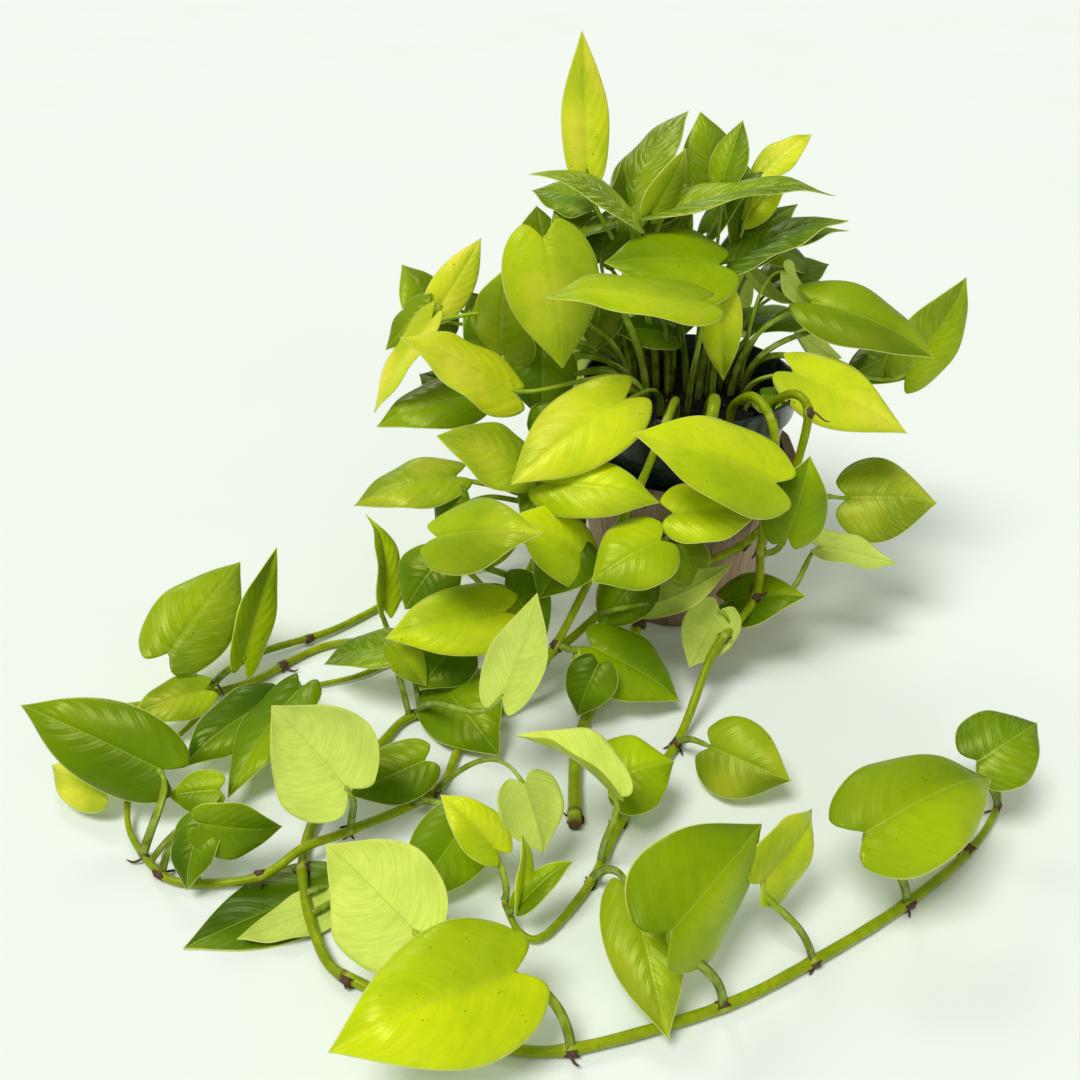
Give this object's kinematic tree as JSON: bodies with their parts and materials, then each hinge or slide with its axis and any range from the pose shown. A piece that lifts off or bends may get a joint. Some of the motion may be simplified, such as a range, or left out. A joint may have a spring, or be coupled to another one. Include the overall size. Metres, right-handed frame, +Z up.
{
  "type": "potted pothos plant",
  "caption": "Golden pothos in a dark plastic nursery pot set in a round staved wooden planter, with leafy stems that spill over the rim and trail along the surface.",
  "frame": {"origin": "centre of the planter's underside, on the surface it stands on", "axes": "+Z is up; -Y is the side that the long vines trail to; +X is to the right when the plant is seen from -Y"},
  "size_m": [0.69, 0.5953, 0.435],
  "materials": {
    "planter_wood": "weathered unfinished boards, matt",
    "pot_plastic": "glossy very dark green",
    "soil": "dark crumbly potting mix with pale and orange specks",
    "vine_green": "smooth green stem with paler node rings",
    "leaf_green": "waxy lime to yellow-green leaf, paler matt underside"
  },
  "bodies": {
    "root": {"crown_leaf_01": "leaf_green", "crown_leaf_02": "leaf_green", "crown_leaf_03": "leaf_green", "crown_leaf_04": "leaf_green", "crown_leaf_05": "leaf_green", "crown_leaf_06": "leaf_green", "crown_leaf_07": "leaf_green", "crown_leaf_08": "leaf_green", "crown_leaf_09": "leaf_green", "crown_leaf_10": "leaf_green", "crown_leaf_11": "leaf_green", "crown_leaf_12": "leaf_green", "crown_leaf_13": "leaf_green", "crown_leaf_14": "leaf_green", "crown_leaf_15": "leaf_green", "crown_leaf_16": "leaf_green", "crown_leaf_17": "leaf_green", "crown_leaf_18": "leaf_green", "crown_leaf_19": "leaf_green", "nursery_pot": "pot_plastic", "planter_floor": "planter_wood", "planter_wall": "planter_wood", "soil": "soil", "vine_cut": "vine_green", "vine_cut_leaf_01": "leaf_green", "vine_cut_leaf_02": "leaf_green", "vine_far_left": "vine_green", "vine_far_left_leaf_01": "leaf_green", "vine_far_left_leaf_02": "leaf_green", "vine_front": "vine_green", "vine_front_leaf_01": "leaf_green", "vine_front_leaf_02": "leaf_green", "vine_front_leaf_03": "leaf_green", "vine_front_leaf_04": "leaf_green", "vine_front_leaf_05": "leaf_green", "vine_inner": "vine_green", "vine_inner_leaf_01": "leaf_green", "vine_inner_leaf_02": "leaf_green", "vine_inner_leaf_03": "leaf_green", "vine_inner_leaf_04": "leaf_green", "vine_inner_leaf_05": "leaf_green", "vine_left": "vine_green", "vine_left_leaf_01": "leaf_green", "vine_long": "vine_green", "vine_long_leaf_01": "leaf_green", "vine_long_leaf_02": "leaf_green", "vine_long_leaf_03": "leaf_green", "vine_long_leaf_04": "leaf_green", "vine_long_leaf_05": "leaf_green", "vine_long_leaf_06": "leaf_green", "vine_long_leaf_07": "leaf_green", "vine_long_leaf_08": "leaf_green", "vine_long_leaf_09": "leaf_green", "vine_right": "vine_green", "vine_right_leaf_01": "leaf_green", "vine_right_leaf_02": "leaf_green", "vine_right_leaf_03": "leaf_green", "vine_right_leaf_04": "leaf_green", "vine_right_leaf_05": "leaf_green", "vine_right_leaf_06": "leaf_green"}
  },
  "joints": []
}
